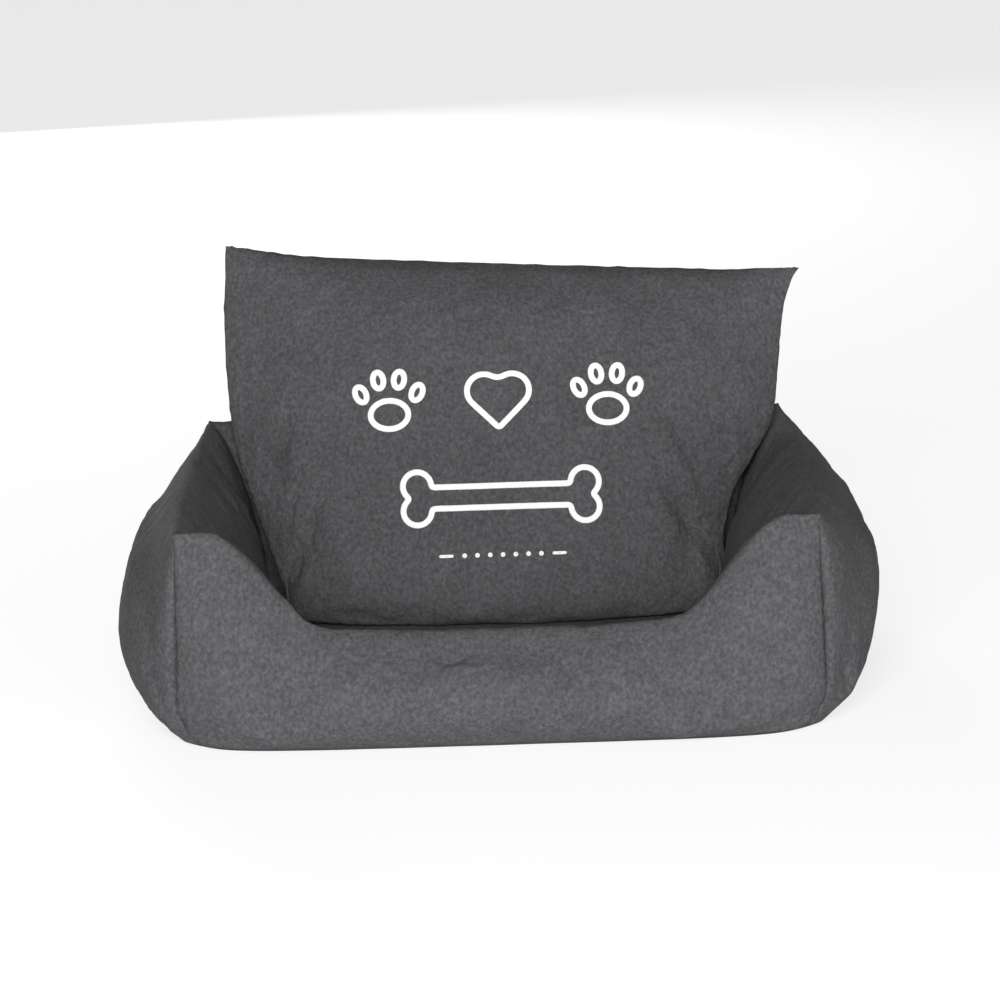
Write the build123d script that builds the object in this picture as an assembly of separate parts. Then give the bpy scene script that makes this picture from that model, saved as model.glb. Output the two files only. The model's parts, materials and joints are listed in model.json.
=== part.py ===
from build123d import *
import math
import os

# Padded dog bed: four stuffed walls sewn round a rectangular base, with a loose
# stuffed cushion that stands in the well and leans on the back wall.
# Millimetres. +Z up, +X to the right of someone facing the bed, the front at -Y.
# Origin: centre of the footprint, on the floor.

# ---- driving dimensions -------------------------------------------------------------
CORNER_X = 322.0          # vertical corner seams, half the distance across the bed
CORNER_Y = 280.0          # vertical corner seams, half the distance front to back
WALL_HEIGHT = 222.0       # arms, back and corners
DIP_HEIGHT = 126.0        # middle of the front wall, where the dog steps in
DIP_FLAT_X = 168.0        # half width of the level part of the dip
DIP_TOP_X = 304.0         # where the front wall reaches full height
BASE_SHEET = 2.5          # non-slip underside sheet
PAD = 18.0                # wadding in the floor of the bed
FLOOR_FABRIC = 2.0        # fabric over the wadding
SKIN = 2.0                # cover fabric with its lining
SEAM_CLEAR = 3.0          # a filling stops this far short of its mitred ends
FOOT_GAP = 0.4            # the walls stand this far off the underside sheet

CUSHION_LEAN = 20.0       # degrees back from upright
CUSHION_FOOT_Y = 128.0    # bottom edge of the cushion, front to back
CUSHION_X = 10.0          # the cushion stands a little right of centre
CUSHION_CLEAR = 3.2       # it stands this far off the floor of the bed
COVER_SKIN = 1.5          # cushion cover
TICKING = 1.0             # lining bag of the inner pillow
PRINT_THICK = 0.4

BED_ZIP_LENGTH = 380.0
CUSHION_ZIP_LENGTH = 260.0
ZIP_DROOP = 18.0          # degrees that both zips face downwards

FLOOR_TOP = BASE_SHEET + PAD + FLOOR_FABRIC
OUT = "parts"


class Wall:
    """One stuffed wall between two mitred corners. along and outward are unit vectors in plan."""

    def __init__(self, along, outward, half_length, offset, bulge_out, out_power, bulge_in, dips=False):
        self.along = along
        self.outward = outward
        self.half_length = half_length
        self.offset = offset
        self.bulge_out = bulge_out
        self.out_power = out_power
        self.bulge_in = bulge_in
        self.dips = dips

    def height(self, t):
        if not self.dips:
            return WALL_HEIGHT
        share = (abs(t) * self.half_length - DIP_FLAT_X) / (DIP_TOP_X - DIP_FLAT_X)
        share = min(1.0, max(0.0, share))
        return DIP_HEIGHT + (WALL_HEIGHT - DIP_HEIGHT) * share * share * (3 - 2 * share)

    def point(self, t, d, z):
        """t runs from -1 to 1 along the wall, and d is outward from the ridge line."""
        run = t * (self.half_length + d)
        reach = self.offset + d
        x = self.along[0] * run + self.outward[0] * reach
        y = self.along[1] * run + self.outward[1] * reach
        return (x, y, z)


# Bulge of a full section at shares of the wall's height: (height share, bulge share)
OUTER_SHAPE = [(0.16, 0.84), (0.40, 1.0), (0.70, 0.74), (0.90, 0.36)]
INNER_SHAPE = [(0.92, 0.27), (0.76, 0.58), (0.58, 0.84), (0.38, 1.0), (0.18, 0.95)]
OUTER_FOOT = 0.35         # bulge share where the wall meets the base, outside
INNER_FOOT = 0.68         # and inside
FOOT_TUCK = 8.0           # the outer foot is drawn in by this much more
CORNER_DEPTH = 60.0       # inner bulge at a mitred corner
SWELL_POWER = 0.73        # how fast the outer bulge grows away from a corner

FRONT = Wall((1, 0), (0, -1), CORNER_X, CORNER_Y, 52.0, 4.0, 62.0, dips=True)
BACK = Wall((-1, 0), (0, 1), CORNER_X, CORNER_Y, 50.9, 5.0, 65.0)
LEFT = Wall((0, -1), (-1, 0), CORNER_Y, CORNER_X, 78.0, 2.5, 78.0)
RIGHT = Wall((0, 1), (1, 0), CORNER_Y, CORNER_X, 78.0, 2.5, 78.0)

PLAIN_STATIONS = [0.0, 0.5, 0.8, 0.93, 1.0]
DIP_STATIONS = [0.0, 0.4, 0.54, 0.62, 0.70, 0.78, 0.86, 0.93, 1.0]


def wall_section(wall, t, inset):
    """The closed outline of a wall at station t, drawn in by inset all round."""
    shape_t = min(1.0, abs(t))
    height = wall.height(t)
    swell = (1 - shape_t**wall.out_power) ** SWELL_POWER
    out = wall.bulge_out * swell
    into = CORNER_DEPTH + (wall.bulge_in - CORNER_DEPTH) * (1 - shape_t**2)
    foot = BASE_SHEET + FOOT_GAP + inset
    ridge = wall.point(t, -inset, height - 3 * inset)
    outer = [wall.point(t, OUTER_FOOT * out - FOOT_TUCK - inset, foot)]
    outer += [wall.point(t, s * out - inset, z * height) for z, s in OUTER_SHAPE]
    outer.append(ridge)
    inner = [ridge]
    inner += [wall.point(t, inset - s * into, z * height) for z, s in INNER_SHAPE]
    inner.append(wall.point(t, inset - INNER_FOOT * into, foot))
    edges = [Spline(*outer), Spline(*inner), Line(inner[-1], outer[0])]
    return Face(Wire(edges))


def wall_solid(wall, inset=0.0):
    """A wall lofted from mitre to mitre. Its sections all pass through one vertical axis, so they never cross."""
    steps = DIP_STATIONS if wall.dips else PLAIN_STATIONS
    end = 1.0 - (SEAM_CLEAR / wall.half_length if inset else 0.0)
    steps = [min(s, end) for s in steps]
    stations = [-s for s in reversed(steps[1:])] + steps
    return loft([wall_section(wall, t, inset) for t in stations])


# Outlines in the base: (half width, front, back, corner X, corner Y, corner radius)
SHEET_OUTLINE = (346, 294, 294, CORNER_X - 5, CORNER_Y - 5, 14)
PAD_OUTLINE = (250, 215, 218, 245, 209, 14)


def base_outline(half_x, front, back, corner_x, corner_y, radius):
    """Four gently bowed sides with rounded corners."""
    left_front, right_front = (-corner_x, -corner_y), (corner_x, -corner_y)
    left_back, right_back = (-corner_x, corner_y), (corner_x, corner_y)
    sides = [
        ThreePointArc(left_front, (0, -front), right_front),
        ThreePointArc(right_front, (half_x, 0), right_back),
        ThreePointArc(right_back, (0, back), left_back),
        ThreePointArc(left_back, (-half_x, 0), left_front),
    ]
    face = Face(Wire(sides))
    return fillet(face.vertices(), radius)


def base_parts():
    pad = base_outline(*PAD_OUTLINE)
    return {
        "base_bottom_panel": extrude(base_outline(*SHEET_OUTLINE), amount=BASE_SHEET),
        "base_pad": Pos(0, 0, BASE_SHEET) * extrude(pad, amount=PAD),
        "base_top_panel": Pos(0, 0, BASE_SHEET + PAD) * extrude(pad, amount=FLOOR_FABRIC),
    }


# ---- cushion ------------------------------------------------------------------------
LEAN = math.radians(CUSHION_LEAN)
CUSHION_UP = Vector(0, math.sin(LEAN), math.cos(LEAN))
CUSHION_FACE = Vector(0, -math.cos(LEAN), math.sin(LEAN))
CUSHION_FOOT = Vector(CUSHION_X, CUSHION_FOOT_Y, FLOOR_TOP + CUSHION_CLEAR)
CUSHION_PLANE = Plane(origin=CUSHION_FOOT, x_dir=(1, 0, 0), z_dir=CUSHION_FACE)
# Sections up the cushion, each (height, left half width, right half width, half thickness).
# The lower part is pressed in by the arms, and the corners at the top are drawn out.
CUSHION_SECTIONS = [
    (0, 222, 215, 8),
    (16, 236, 226, 27),
    (50, 252, 236, 44),
    (95, 261, 238, 53),
    (140, 276, 250, 56),
    (185, 299, 281, 56),
    (225, 312, 302, 55),
    (290, 317, 310, 52),
    (350, 317, 316, 39),
    (390, 313, 322, 22),
    (410, 310, 326, 8),
]
TOP_SLOPE = 4.2           # degrees the top edge runs down to the right
BACK_SHARE = 0.9          # the back is flatter than the front
# The crown across a section: (share of the half width, share of the half thickness)
CROWN = [(-0.86, 0.60), (-0.5, 0.92), (0.0, 1.0), (0.5, 0.92), (0.86, 0.60)]


def cushion_section(row, inset):
    """One closed section across the cushion: a front and a back curve that meet at the side seams."""
    height, left, right, thick = row
    top = CUSHION_SECTIONS[-1][0]
    slope = math.tan(math.radians(TOP_SLOPE)) * (height / top) ** 2
    side = 1.5 * inset

    def place(share, depth):
        u = share * ((left if share < 0 else right) - side)
        return CUSHION_PLANE.from_local_coords(Vector(u, height - slope * u, depth))

    ends = place(-1, 0), place(1, 0)
    front = [place(u, n * (thick - inset)) for u, n in CROWN]
    back = [place(u, -n * (BACK_SHARE * thick - inset)) for u, n in reversed(CROWN)]
    edges = [Spline(ends[0], *front, ends[1]), Spline(ends[1], *back, ends[0])]
    return Face(Wire(edges))


def cushion_solid(inset=0.0):
    """The crowned pillow drawn in by inset all round, or swollen where inset is negative."""
    rows = list(CUSHION_SECTIONS)
    foot, *_, head = rows
    rows[0] = (foot[0] + inset, *foot[1:])
    rows[-1] = (head[0] - inset, *head[1:])
    return loft([cushion_section(row, inset) for row in rows])


def half_space(front):
    """A block that holds the front or the back half of the cushion."""
    size = 900.0
    block = Box(size, size, size / 2, align=(Align.CENTER, Align.CENTER, Align.MIN if front else Align.MAX))
    return CUSHION_PLANE * Pos(0, size / 4, 0) * block


# ---- printed motif: paw, heart, paw over one long bone and a dotted rule ----------------
STROKE = 6.5
TOES = ((-31, 10, 24), (-11.5, 25, 8), (11.5, 25, -8), (31, 10, -24))    # X, Y and tilt
MOTIF_X, PAW_SPREAD = -4.0, 120.0
TOP_ROW, BONE_ROW, RULE_ROW = 234.0, 126.0, 62.0    # up from the cushion's bottom edge


def ring(shape):
    """The outline of a filled shape, as a band one stroke wide inside its edge."""
    return shape - offset(shape, amount=-STROKE)


def oval(wide, high):
    return Ellipse(wide, high) - Ellipse(wide - STROKE, high - STROKE)


def paw():
    shape = Pos(0, -14) * oval(24, 19)
    for x, y, tilt in TOES:
        shape += Pos(x, y) * Rot(0, 0, tilt) * oval(9, 12.5)
    return shape


def heart():
    side = 44.0
    lobe = side / 2
    reach = lobe / math.sqrt(2)
    shape = Rot(0, 0, 45) * Rectangle(side, side)
    shape += Pos(-reach, reach) * Circle(lobe)
    shape += Pos(reach, reach) * Circle(lobe)
    return ring(Pos(0, -6) * shape)


def bone():
    half, knob = 92.0, 19.0
    shape = Rectangle(2 * half, 30)
    for x in (-half, half):
        for y in (-0.72 * knob, 0.72 * knob):
            shape += Pos(x, y) * Circle(knob)
    return ring(shape)


def dotted_rule():
    rule = Pos(-62, 0) * SlotOverall(16, 3.4) + Pos(62, 0) * SlotOverall(16, 3.4)
    for step in range(-3, 4):
        rule += Pos(step * 14.0, 0) * Circle(2.6)
    return rule


def motif():
    """Each piece of the motif at its place on the cushion's face."""
    return [
        Pos(MOTIF_X - PAW_SPREAD, TOP_ROW) * paw(),
        Pos(MOTIF_X, TOP_ROW) * heart(),
        Pos(MOTIF_X + PAW_SPREAD, TOP_ROW) * paw(),
        Pos(MOTIF_X, BONE_ROW) * bone(),
        Pos(MOTIF_X, RULE_ROW) * dotted_rule(),
    ]


def cushion_parts():
    cover = cushion_solid()
    bag = cushion_solid(COVER_SKIN)
    fill = cushion_solid(COVER_SKIN + TICKING)
    shell = cover - bag
    parts = {
        "cushion_front_panel": shell & half_space(True),
        "cushion_back_panel": shell & half_space(False),
        "inner_pillow_ticking": bag - fill,
        "inner_pillow_fibre": fill,
    }
    ink = cushion_solid(-PRINT_THICK) - cover
    prisms = [extrude(CUSHION_PLANE.offset(20) * shape, amount=60) for shape in motif()]
    parts["cushion_print"] = Compound([s for prism in prisms for s in (prism & ink).solids()])
    return parts


# ---- zips ---------------------------------------------------------------------------
# Local frame of a zip: X along it, Z out of the fabric, Z = 0 on the land it is sewn to.
TAPE_WIDTH, TAPE_THICK = 12.5, 0.6
COIL_GAP, COIL_WIDTH, COIL_THICK = 1.2, 2.6, 2.0
TAPE_LIFT = 0.1
LAND_WIDTH, LAND_MARGIN = 30.0, 22.0
GROOVE_WIDTH, GROOVE_DEPTH = 14.0, 3.2
SLIDER_LENGTH, SLIDER_WIDTH = 11.0, 9.6
PLATE = 1.0
END_GAP = 12.0            # slider's centre to the end of the coil
BAIL_BASE = 4.0           # height of the slider's top face
PIN_HEIGHT = 5.0          # the pull turns about this line
PULL_LENGTH = 24.0


def low_box(x0, x1, y0, y1, z0, z1):
    return Pos(x0, y0, z0) * Box(x1 - x0, y1 - y0, z1 - z0, align=(Align.MIN, Align.MIN, Align.MIN))


def zip_tapes(length):
    reach = length / 2 + 18.0
    inner = COIL_GAP / 2 + 0.5
    top = TAPE_LIFT + TAPE_THICK
    lower = low_box(-reach, reach, inner, inner + TAPE_WIDTH, TAPE_LIFT, top)
    return [lower, mirror(lower, about=Plane.XZ)]


def zip_coils(length):
    reach = length / 2
    base = TAPE_LIFT + TAPE_THICK
    row = low_box(-reach, reach, COIL_GAP / 2, COIL_GAP / 2 + COIL_WIDTH, base, base + COIL_THICK)
    row = fillet(row.edges().filter_by(Axis.X).sort_by(Axis.Z)[-2:], 0.7)
    return [row, mirror(row, about=Plane.XZ)]


def zip_stops(length):
    base = TAPE_LIFT + TAPE_THICK
    stops = []
    for end in (-1, 1):
        middle = end * (length / 2 + 1.6)
        stop = low_box(middle - 1.2, middle + 1.2, -3.4, 3.4, base, base + 2.2)
        stops.append(fillet(stop.edges().filter_by(Axis.Z), 0.8))
    return stops


def zip_slider():
    half, side = SLIDER_LENGTH / 2, SLIDER_WIDTH / 2
    top = low_box(-half, half, -side, side, BAIL_BASE - PLATE, BAIL_BASE)
    top = fillet(top.edges().filter_by(Axis.Z), 2.4)
    bottom = low_box(-half, half, -side, side, -1.4, -0.4)
    bottom = fillet(bottom.edges().filter_by(Axis.Z), 2.4)
    web = low_box(-half + 0.6, -half + 5.0, -0.4, 0.4, -0.4, BAIL_BASE - PLATE)
    flange = low_box(-half + 2.4, half - 2.4, side - 0.9, side, 1.2, BAIL_BASE - PLATE)
    bail = low_box(-3.2, 3.2, -1.2, 1.2, BAIL_BASE, 6.7)
    bail = fillet(bail.edges().filter_by(Axis.Y).sort_by(Axis.Z)[-2:], 1.0)
    bail -= low_box(-2.0, 2.0, -1.2, 1.2, BAIL_BASE + 0.2, 5.9)
    return top + bottom + web + flange + mirror(flange, about=Plane.XZ) + bail


def zip_pull():
    bar = Pos(0, 0, PIN_HEIGHT) * Rot(90, 0, 0) * Cylinder(0.6, 6.6)
    arms = low_box(0, 7.4, -3.3, -1.8, PIN_HEIGHT - 0.5, PIN_HEIGHT + 0.5)
    arms += low_box(0, 7.4, 1.8, 3.3, PIN_HEIGHT - 0.5, PIN_HEIGHT + 0.5)
    plate = low_box(6.0, PULL_LENGTH, -3.9, 3.9, PIN_HEIGHT - 0.6, PIN_HEIGHT + 0.6)
    plate = fillet(plate.edges().filter_by(Axis.Z), 2.0)
    plate -= Pos(PULL_LENGTH - 4.4, 0, PIN_HEIGHT) * Cylinder(1.5, 4)
    return bar + arms + plate


def zip_parts(prefix, plane, length):
    """The pieces of one closed zip, with its slider at the -X end of the local frame."""
    start = plane * Pos(END_GAP - length / 2, 0, 0)
    return {
        prefix + "_zip_tapes": Compound([plane * s for s in zip_tapes(length)]),
        prefix + "_zip_coils": Compound([plane * s for s in zip_coils(length)]),
        prefix + "_zip_stops": Compound([plane * s for s in zip_stops(length)]),
        prefix + "_zip_slider": start * zip_slider(),
        prefix + "_zip_pull": start * zip_pull(),
    }


def zip_pocket(plane, length):
    """What the zip needs cut away: everything above its land, and a groove for the slider's lower plate."""
    reach = length / 2 + LAND_MARGIN
    land = low_box(-reach, reach, -LAND_WIDTH / 2, LAND_WIDTH / 2, 0, 40)
    groove = low_box(-reach, reach, -GROOVE_WIDTH / 2, GROOVE_WIDTH / 2, -GROOVE_DEPTH, 0)
    return plane * (land + groove)


def tilted_plane(origin, facing, towards):
    """A zip's plane: it faces one way, drooping a little towards another."""
    angle = math.radians(ZIP_DROOP)
    normal = facing * math.cos(angle) + towards * math.sin(angle)
    return Plane(origin=origin, x_dir=(1, 0, 0), z_dir=tuple(normal))


# The bed's zip is low on the outside of the back wall.
BED_ZIP_OUT, BED_ZIP_HEIGHT = 37.5, 40.0
BED_ZIP_ORIGIN = (0, CORNER_Y + BED_ZIP_OUT, BED_ZIP_HEIGHT)
BED_ZIP_PLANE = tilted_plane(BED_ZIP_ORIGIN, Vector(0, 1, 0), Vector(0, 0, -1))
# The cushion's zip is low on its back, where it stands clear of the wall.
CUSHION_ZIP_UP, CUSHION_ZIP_BACK = 48.0, 32.5
CUSHION_ZIP_ORIGIN = CUSHION_FOOT + CUSHION_UP * CUSHION_ZIP_UP - CUSHION_FACE * CUSHION_ZIP_BACK
CUSHION_ZIP_PLANE = tilted_plane(CUSHION_ZIP_ORIGIN, -CUSHION_FACE, -CUSHION_UP)


def build():
    parts = base_parts()
    for name, wall in (("front", FRONT), ("back", BACK), ("left", LEFT), ("right", RIGHT)):
        whole = wall_solid(wall)
        filling = wall_solid(wall, SKIN)
        parts[name + "_wall_cover"] = whole - filling
        parts[name + "_wall_filling"] = filling
    bed_pocket = zip_pocket(BED_ZIP_PLANE, BED_ZIP_LENGTH)
    for name in ("back_wall_cover", "back_wall_filling"):
        parts[name] = parts[name] - bed_pocket
    parts.update(zip_parts("bed", BED_ZIP_PLANE, BED_ZIP_LENGTH))

    cushion = cushion_parts()
    cushion_pocket = zip_pocket(CUSHION_ZIP_PLANE, CUSHION_ZIP_LENGTH)
    for name in ("cushion_back_panel", "inner_pillow_ticking", "inner_pillow_fibre"):
        cushion[name] = cushion[name] - cushion_pocket
    parts.update(cushion)
    parts.update(zip_parts("cushion", CUSHION_ZIP_PLANE, CUSHION_ZIP_LENGTH))
    return parts


def main():
    os.makedirs(OUT, exist_ok=True)
    for name, shape in build().items():
        export_step(shape, os.path.join(OUT, name + ".step"))
        box = shape.bounding_box()
        print(name, len(shape.solids()), round(shape.volume), [round(v) for v in (*box.min, *box.max)])
    print("cushion lifts along", tuple(round(v, 5) for v in CUSHION_UP))
    for name, plane, length in (
        ("bed", BED_ZIP_PLANE, BED_ZIP_LENGTH),
        ("cushion", CUSHION_ZIP_PLANE, CUSHION_ZIP_LENGTH),
    ):
        pin = plane.from_local_coords(Vector(END_GAP - length / 2, 0, PIN_HEIGHT))
        print(name, "pull turns about", tuple(plane.y_dir), "through", tuple(pin))


if __name__ == "__main__":
    main()
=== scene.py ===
import json
import math

import bpy
import numpy as np
from mathutils import Matrix, Vector, noise
from mathutils.bvhtree import BVHTree


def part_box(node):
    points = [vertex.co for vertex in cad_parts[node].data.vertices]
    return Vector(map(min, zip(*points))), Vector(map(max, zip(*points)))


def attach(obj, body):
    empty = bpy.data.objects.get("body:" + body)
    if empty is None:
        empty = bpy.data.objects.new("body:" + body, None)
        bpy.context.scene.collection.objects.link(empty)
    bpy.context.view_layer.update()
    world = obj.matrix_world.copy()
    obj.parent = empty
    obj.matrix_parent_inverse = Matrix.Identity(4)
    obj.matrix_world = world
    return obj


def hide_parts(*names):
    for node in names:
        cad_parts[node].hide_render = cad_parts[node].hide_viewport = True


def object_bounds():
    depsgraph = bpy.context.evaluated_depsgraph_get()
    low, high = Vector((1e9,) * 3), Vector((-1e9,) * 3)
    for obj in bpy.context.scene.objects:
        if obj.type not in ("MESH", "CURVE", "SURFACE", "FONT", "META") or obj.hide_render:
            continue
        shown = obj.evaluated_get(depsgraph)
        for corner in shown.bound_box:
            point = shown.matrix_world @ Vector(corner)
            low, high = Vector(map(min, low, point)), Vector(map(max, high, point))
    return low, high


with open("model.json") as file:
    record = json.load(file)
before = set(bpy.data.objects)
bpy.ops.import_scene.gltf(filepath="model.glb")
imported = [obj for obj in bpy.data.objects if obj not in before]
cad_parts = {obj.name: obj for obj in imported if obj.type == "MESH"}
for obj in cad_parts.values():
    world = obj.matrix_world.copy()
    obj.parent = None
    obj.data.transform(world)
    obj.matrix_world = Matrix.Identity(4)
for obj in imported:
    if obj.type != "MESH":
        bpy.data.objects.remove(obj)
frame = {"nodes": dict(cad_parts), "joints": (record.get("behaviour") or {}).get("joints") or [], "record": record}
CAD_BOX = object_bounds()

# ---- driving sizes, in metres, from the frame ----------------------------------------------------
MM = 0.001
CORNER_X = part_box("front_wall_filling")[1].x           # the vertical corner seams
CORNER_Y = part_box("left_wall_filling")[1].y
WALL_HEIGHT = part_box("left_wall_cover")[1].z
SHEET_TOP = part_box("base_bottom_panel")[1].z
FLOOR_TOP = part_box("base_top_panel")[1].z
SIDE_BULGE = CAD_BOX[1].x - CORNER_X
FRONT_BULGE = -CAD_BOX[0].y - CORNER_Y
BACK_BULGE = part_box("back_wall_cover")[1].y - CORNER_Y
DIP_HEIGHT = 0.131                                     # middle of the front wall
DIP_FLAT_X, DIP_TOP_X = 0.165, 0.299                   # the dip's slopes run between these
DIP_POWER = 1.2                                        # over 1, a slope starts more gently
FABRIC = 1.6 * MM                                      # the walls' felt with its lining
CUSHION_FABRIC = 1.2 * MM
LEAN = math.radians(20)                                # the cushion leans on the back wall
rng = np.random.default_rng(7)


# ---- small mesh tools ----------------------------------------------------------------------------
def new_object(name, verts, faces):
    mesh = bpy.data.meshes.new(name)
    mesh.from_pydata([tuple(v) for v in verts], [], [tuple(f) for f in faces])
    mesh.validate()
    mesh.update()
    mesh.shade_smooth()
    obj = bpy.data.objects.new(name, mesh)
    bpy.context.scene.collection.objects.link(obj)
    return obj


def grid_faces(cols, rows, wrap=False, tube=False, start=0):
    """Quads of a grid whose vertex (i, j) has index start + i * rows + j. wrap joins the last column to
    the first one, and tube the last row to the first one."""
    faces = []
    for i in range(cols if wrap else cols - 1):
        n = (i + 1) % cols
        for j in range(rows if tube else rows - 1):
            m = (j + 1) % rows
            faces.append((start + i * rows + j, start + n * rows + j,
                          start + n * rows + m, start + i * rows + m))
    return faces


def turned(faces, shift=0):
    """The same faces seen from their other side, with shift added to every index."""
    return [tuple(shift + k for k in reversed(face)) for face in faces]


def rim(edge, count):
    """Quads from a closed loop of vertices to its copy, whose indices are higher by count."""
    return [(b, a, a + count, b + count) for a, b in zip(edge, edge[1:] + edge[:1])]


def grid_normals(grid):
    """Unit normals of a (cols, rows, 3) grid, pointing to the side that grid_faces shows."""
    along = np.gradient(grid, axis=0)
    across = np.gradient(grid, axis=1)
    n = np.cross(along, across)
    return n / np.maximum(np.linalg.norm(n, axis=2, keepdims=True), 1e-12)


def border(cols, rows):
    """Indices of a grid's outermost vertices, once round."""
    edge = [i * rows for i in range(cols)]
    edge += [(cols - 1) * rows + j for j in range(1, rows)]
    edge += [i * rows + rows - 1 for i in range(cols - 2, -1, -1)]
    return edge + list(range(rows - 2, 0, -1))


def closed_body(name, near, far):
    """A closed body between two grids of the same size, with rims round the four edges."""
    cols, rows, _ = near.shape
    count = cols * rows
    faces = grid_faces(cols, rows)
    faces = faces + turned(faces, count) + rim(border(cols, rows), count)
    return new_object(name, np.concatenate([near.reshape(-1, 3), far.reshape(-1, 3)]), faces)


def shell(name, grid, thickness):
    """A fabric with the grid as its outside, and its inside set back by thickness."""
    return closed_body(name, grid, grid - grid_normals(grid) * thickness)


def run_along(grid, axis):
    """Distance gone along each line of a grid, from the line's start."""
    steps = np.linalg.norm(np.diff(grid, axis=axis), axis=2)
    start = 0 * steps.take([0], axis=axis)
    return np.concatenate([start, np.cumsum(steps, axis=axis)], axis=axis)


def refine_axis(values, factor, axis):
    """Catmull-Rom interpolation of a grid along one axis, factor new steps for each old one."""
    v = np.moveaxis(values, axis, 0)
    padded = np.concatenate([2 * v[:1] - v[1:2], v, 2 * v[-1:] - v[-2:-1]])
    p0, p1, p2, p3 = padded[:-3], padded[1:-2], padded[2:-1], padded[3:]
    steps = []
    for k in range(factor):
        t = k / factor
        steps.append(0.5 * (2 * p1 + (p2 - p0) * t + (2 * p0 - 5 * p1 + 4 * p2 - p3) * t**2
                            + (3 * p1 - p0 - 3 * p2 + p3) * t**3))
    fine = np.stack(steps, axis=1).reshape(-1, *v.shape[1:])
    return np.moveaxis(np.concatenate([fine, v[-1:]]), 0, axis)


def curve_points(points, count):
    """Points evenly spaced along a smooth curve through the given ones, shape (count, dims)."""
    fine = refine_axis(np.asarray(points, float), 24, 0)
    gone = np.concatenate([[0], np.cumsum(np.linalg.norm(np.diff(fine, axis=0), axis=1))])
    want = np.linspace(0, gone[-1], count)
    return np.stack([np.interp(want, gone, fine[:, k]) for k in range(fine.shape[1])], axis=1)


def ease_loop(path, rounds):
    """Eases a closed path's corners: each round averages every point with its neighbours."""
    for _ in range(rounds):
        path = (np.roll(path, 1, axis=0) + 2 * path + np.roll(path, -1, axis=0)) / 4
    return path


def loop_sides(path):
    """Unit directions to the right of a closed path in a plane, as one goes along it."""
    ahead = np.roll(path, -1, axis=0) - np.roll(path, 1, axis=0)
    side = np.stack([ahead[:, 1], -ahead[:, 0]], axis=1)
    return side / np.linalg.norm(side, axis=1, keepdims=True)


def value_noise(points, size, seed):
    """Smooth noise from -1 to 1 at the given points, with features of about the given size."""
    shift = Vector((seed * 3.7, seed * 1.3, seed * 7.1))
    flat = points.reshape(-1, 3) / size
    out = np.array([noise.noise(Vector(p) + shift) for p in flat])
    return out.reshape(points.shape[:-1])


def smooth_step(x):
    """0 below 0 and 1 above 1, with a soft rise between them."""
    x = np.clip(x, 0, 1)
    return x * x * (3 - 2 * x)


def beside_seam(reach, fade, clear):
    """Weight of gathers: none on a seam, most at about clear from it, then fading away over fade."""
    return np.exp(-reach / fade) * smooth_step(reach / clear)


# ---- cloth ---------------------------------------------------------------------------------------
SWELL_FRAMES = 16
FINER = 2                                              # new grid steps for each simulated one


def simulate(obj, pinned, gathered, gather, pressure, cap):
    """Swells obj by air pressure as sewn fabric does. pinned and gathered are weights from 0 to 1 for
    each vertex: pinned ones stay, and gathered ones are drawn in by the share gather, as a seam does.
    Returns the new points, none further than cap from where it began."""
    start = np.zeros(len(obj.data.vertices) * 3)
    obj.data.vertices.foreach_get("co", start)
    start = start.reshape(-1, 3)
    for group_name, weights in (("pinned", pinned), ("gathered", gathered)):
        group = obj.vertex_groups.new(name=group_name)
        for level in np.unique(np.round(weights, 2)):
            if level > 0:
                chosen = np.nonzero(np.round(weights, 2) == level)[0]
                group.add([int(c) for c in chosen], float(level), "REPLACE")
    cloth = obj.modifiers.new("cloth", "CLOTH")
    s = cloth.settings
    s.quality = 5
    s.mass = 0.25
    s.air_damping = 2.0
    s.tension_stiffness = s.compression_stiffness = 22.0
    s.shear_stiffness = 9.0
    s.bending_stiffness = 0.35
    s.tension_damping = s.compression_damping = 12.0
    s.vertex_group_mass = "pinned"
    s.vertex_group_shrink = "gathered"
    s.shrink_min = -0.012
    s.shrink_max = gather
    s.use_pressure = True
    s.uniform_pressure_force = pressure
    s.effector_weights.gravity = 0
    cloth.collision_settings.use_collision = False
    cloth.point_cache.frame_start = 1
    cloth.point_cache.frame_end = SWELL_FRAMES
    scene = bpy.context.scene
    scene.frame_start, scene.frame_end = 1, SWELL_FRAMES
    for step in range(1, SWELL_FRAMES + 1):
        scene.frame_set(step)
    done = obj.evaluated_get(bpy.context.evaluated_depsgraph_get())
    end = np.zeros(len(start) * 3)
    done.data.vertices.foreach_get("co", end)
    end = end.reshape(-1, 3)
    scene.frame_set(1)
    moved = end - start
    far = np.linalg.norm(moved, axis=1, keepdims=True)
    soft = cap * np.tanh(far / cap)
    return start + moved * soft / np.maximum(far, 1e-9)


# ---- the four walls ------------------------------------------------------------------------------
# The shapes list (height, swell) up a wall's section, as shares of the wall's height and full swell.
OUTER_SHAPE = [(0.16, 0.84), (0.40, 1.0), (0.70, 0.76), (0.90, 0.38)]
HIGH_SHAPE = [(0.16, 0.70), (0.47, 1.0), (0.73, 0.88), (0.91, 0.50)]
INNER_SHAPE = [(0.92, 0.27), (0.76, 0.58), (0.58, 0.84), (0.38, 1.0), (0.18, 0.95)]
OUTER_FOOT, INNER_FOOT = 0.35, 0.68
FOOT_TUCK, CORNER_TUCK = 8 * MM, 16 * MM               # the foot is drawn in, most at the corners
CORNER_DEPTH = 60 * MM
FOOT = SHEET_TOP + 0.4 * MM
OUT_ROWS, IN_ROWS = 30, 32
STEP = 8.5 * MM
FILLING_INSET = 7 * MM
# The seams draw the fabric in by about the two eases, so it is cut that much larger. The pressure
# pushes it out by about SWELL, so it starts that much slimmer.
CORNER_EASE, RIDGE_EASE, SWELL = 8 * MM, 10 * MM, 9 * MM


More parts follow.
